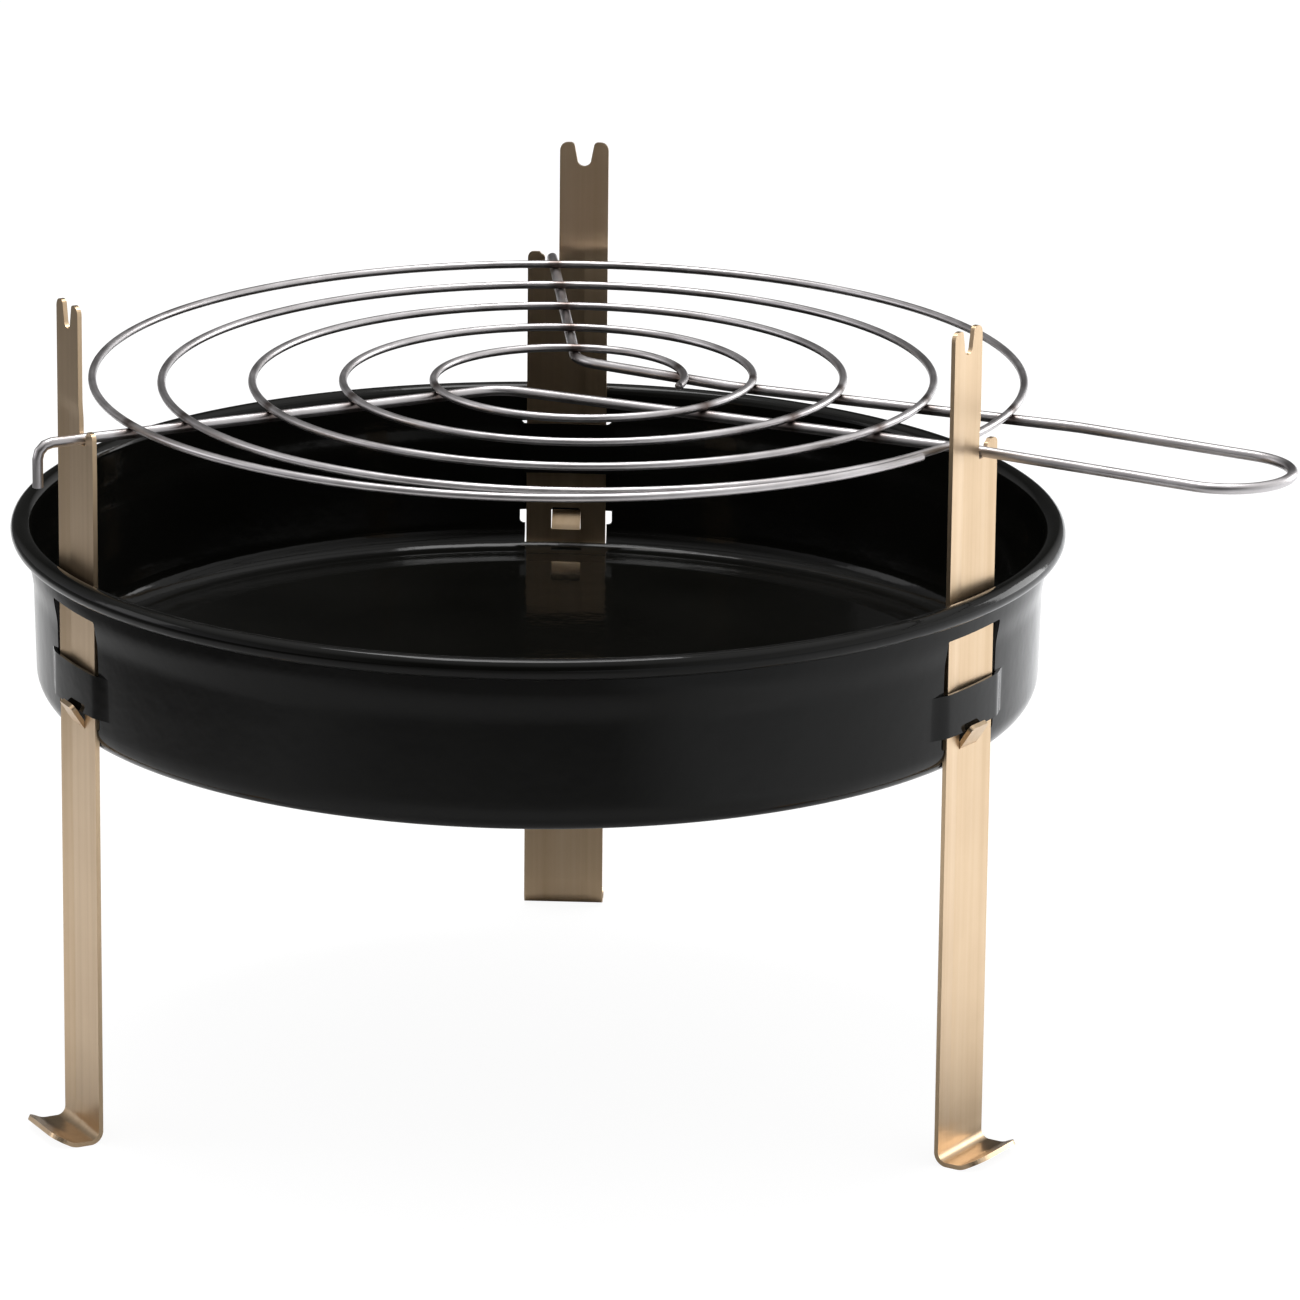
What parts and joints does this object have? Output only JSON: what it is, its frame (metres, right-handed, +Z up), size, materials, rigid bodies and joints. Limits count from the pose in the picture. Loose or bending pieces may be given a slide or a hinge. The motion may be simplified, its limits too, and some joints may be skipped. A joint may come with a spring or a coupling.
{
  "type": "tripod charcoal grill bowl",
  "caption": "Round fire bowl hung on three notched strip legs, with a spiral wire grid and a long wire handle laid over it.",
  "frame": {"origin": "at table level, in the middle of the plan outline of bowl and handle; the bowl's own axis stands 45.4 mm from it towards -X", "axes": "+Z up, +X out through the leg on the handle's side, +Y completes the right-handed frame"},
  "size_m": [0.4403, 0.3499, 0.28],
  "materials": {
    "black_enamel": "gloss enamel",
    "yellow_plated_steel": "satin, yellow passivated",
    "chromed_wire": "plated wire, darker at the welds"
  },
  "bodies": {
    "leg_back": {"leg_back": "yellow_plated_steel"},
    "bowl": {"bowl": "black_enamel"},
    "leg_left": {"leg_left": "yellow_plated_steel"},
    "leg_right": {"leg_right": "yellow_plated_steel"},
    "grid": {"grid_spiral": "chromed_wire", "grid_handle": "chromed_wire"}
  },
  "joints": [
    {"name": "bowl_lift", "type": "slide", "parent": "leg_back", "child": "bowl", "axis": [0, 0, 1], "range_m": [0, 0.15]},
    {"name": "leg_left_drop", "type": "slide", "parent": "bowl", "child": "leg_left", "axis": [0, 0, -1], "range_m": [0, 0.15]},
    {"name": "leg_right_drop", "type": "slide", "parent": "bowl", "child": "leg_right", "axis": [0, 0, -1], "range_m": [0, 0.15]},
    {"name": "grid_lift", "type": "slide", "parent": "bowl", "child": "grid", "axis": [0, 0, 1], "range_m": [0, 0.06]}
  ],
  "couplings": [
    {"joint": "leg_left_drop", "follows": "bowl_lift", "ratio": 1},
    {"joint": "leg_right_drop", "follows": "bowl_lift", "ratio": 1}
  ]
}
